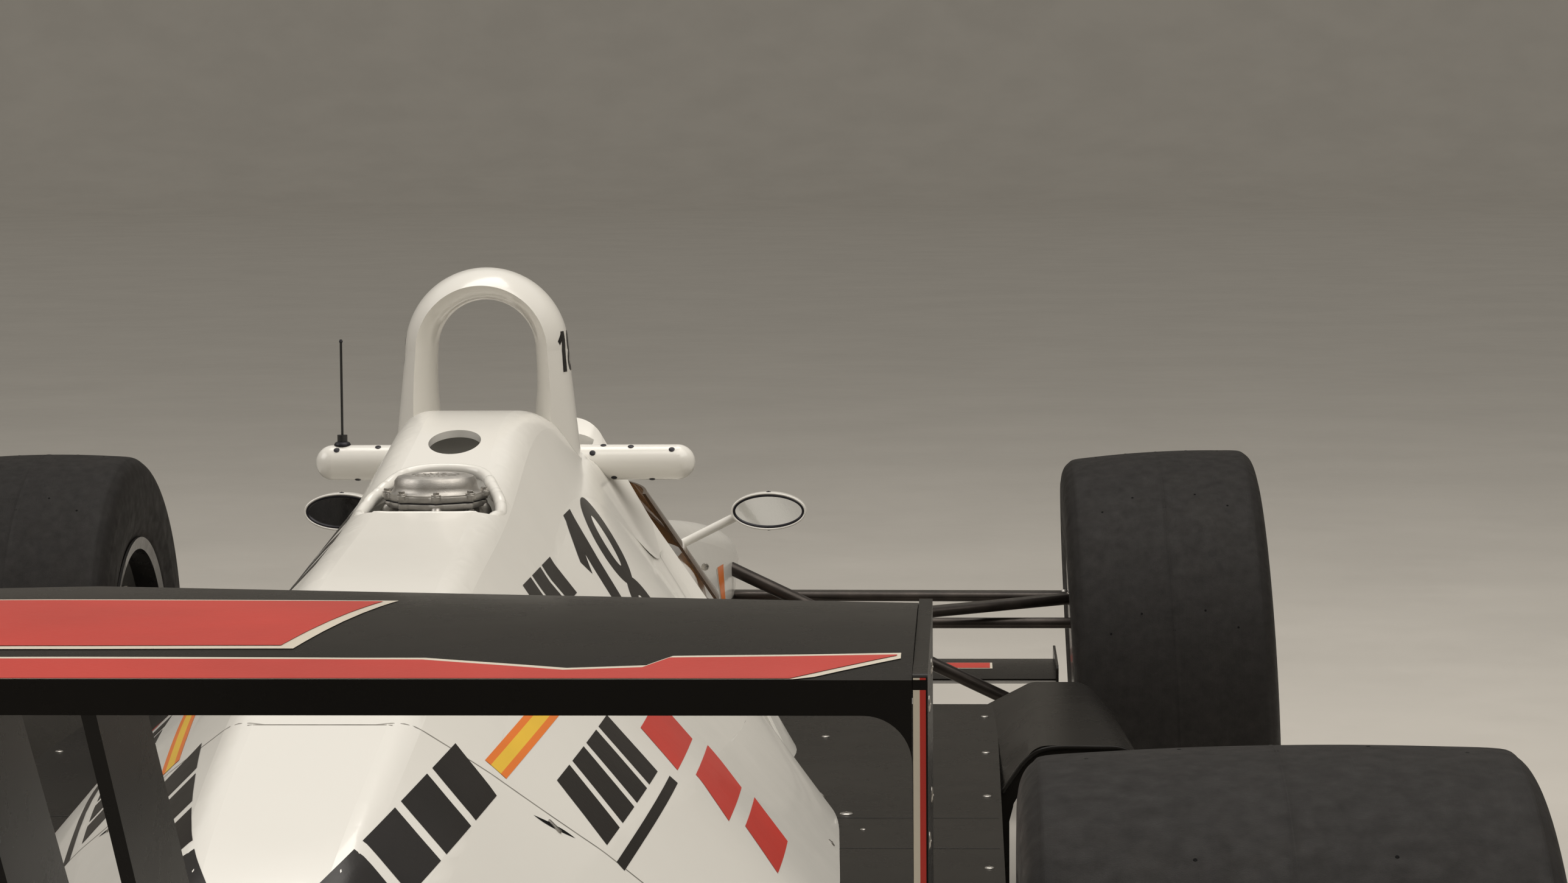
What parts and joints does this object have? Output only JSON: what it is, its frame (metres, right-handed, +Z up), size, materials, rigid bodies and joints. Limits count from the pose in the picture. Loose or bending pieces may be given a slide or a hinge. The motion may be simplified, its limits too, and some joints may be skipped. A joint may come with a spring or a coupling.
{
  "type": "open wheel racing car",
  "caption": "Single seat open wheel racing car with a slim hollow cockpit, faired roll hoop, side ducts, wings and steered wheels.",
  "frame": {"origin": "floor level at the centre of the car's length and width", "axes": "-Y points where the nose points, +X to the driver's left, +Z up"},
  "size_m": [2.0167, 4.915, 1.0023],
  "materials": {
    "body_white": "glossy painted composite",
    "body_black": "glossy painted composite",
    "floor_black": "bare composite, satin",
    "tinted_glass": "brown tint, polished",
    "seat_cloth": "close woven cover",
    "grip_leather": "suede-like grip",
    "dash_black": "matt",
    "cast_metal": "as cast, satin",
    "engine_metal": "as cast",
    "gear_metal": "dull cast",
    "core_metal": "finned core",
    "arm_metal": "dark bronze-black, satin",
    "upright_metal": "dull machined",
    "rim_metal": "dark satin",
    "disc_iron": "swept face bright, bell dull",
    "shaft_steel": "satin",
    "pipe_steel": "heat tinted",
    "tyre_rubber": "slick, matt",
    "mirror_face": "polished",
    "whip_black": "matt"
  },
  "bodies": {
    "chassis": {"monocoque": "body_white", "nose_cone": "body_white", "engine_cover": "body_white", "roll_hoop": "body_white", "windscreen": "tinted_glass", "seat": "seat_cloth", "head_pad": "dash_black", "steering_wheel": "grip_leather", "dash_panel": "dash_black", "camera_pods": "body_white", "antenna": "whip_black", "mirror_housings": "body_white", "mirror_glasses": "mirror_face", "sidepod_left": "body_black", "sidepod_right": "body_black", "radiators": "core_metal", "underfloor": "floor_black", "engine_block": "engine_metal", "popoff_valve": "cast_metal", "gearbox_casing": "gear_metal", "exhaust_pipe": "pipe_steel", "rear_wing_plane": "body_black", "rear_wing_end_plates": "body_black", "rear_wing_pylons": "body_black", "front_wings": "body_black", "front_wishbones": "arm_metal", "rear_wishbones": "arm_metal", "rear_uprights": "upright_metal"},
    "steering_rack": {"steering_rack": "arm_metal"},
    "front_upright_left": {"front_upright_left": "upright_metal"},
    "front_upright_right": {"front_upright_right": "upright_metal"},
    "front_wheel_left": {"front_tyre_left": "tyre_rubber", "front_rim_left": "rim_metal", "front_disc_left": "disc_iron"},
    "front_wheel_right": {"front_tyre_right": "tyre_rubber", "front_rim_right": "rim_metal", "front_disc_right": "disc_iron"},
    "rear_wheel_left": {"rear_tyre_left": "tyre_rubber", "rear_rim_left": "rim_metal", "rear_disc_left": "disc_iron", "drive_shaft_left": "shaft_steel"},
    "rear_wheel_right": {"rear_tyre_right": "tyre_rubber", "rear_rim_right": "rim_metal", "rear_disc_right": "disc_iron", "drive_shaft_right": "shaft_steel"}
  },
  "joints": [
    {"name": "steer_left", "type": "hinge", "parent": "chassis", "child": "front_upright_left", "pos_m": [0.74, -1.3875, 0.32899], "axis": [0, 0, 1], "range_deg": [-15, 15]},
    {"name": "steer_right", "type": "hinge", "parent": "chassis", "child": "front_upright_right", "pos_m": [-0.74, -1.3875, 0.32899], "axis": [0, 0, 1], "range_deg": [-15, 15]},
    {"name": "rack_slide", "type": "slide", "parent": "chassis", "child": "steering_rack", "axis": [1, 0, 0], "range_m": [-0.026, 0.026]},
    {"name": "front_spin_left", "type": "hinge", "parent": "front_upright_left", "child": "front_wheel_left", "pos_m": [0.852, -1.3875, 0.32899], "axis": [1, 0, -0.0087], "continuous": true},
    {"name": "front_spin_right", "type": "hinge", "parent": "front_upright_right", "child": "front_wheel_right", "pos_m": [-0.852, -1.3875, 0.32998], "axis": [0.9986, 0, -0.0523], "continuous": true},
    {"name": "rear_spin_left", "type": "hinge", "parent": "chassis", "child": "rear_wheel_left", "pos_m": [0.7965, 1.4575, 0.34095], "axis": [0.9998, 0, -0.0175], "continuous": true},
    {"name": "rear_spin_right", "type": "hinge", "parent": "chassis", "child": "rear_wheel_right", "pos_m": [-0.7965, 1.4575, 0.34095], "axis": [0.9998, 0, -0.0175], "continuous": true}
  ],
  "couplings": [
    {"joint": "steer_right", "follows": "steer_left", "ratio": 1},
    {"joint": "rack_slide", "follows": "steer_left", "m_per_rad": -0.095}
  ]
}
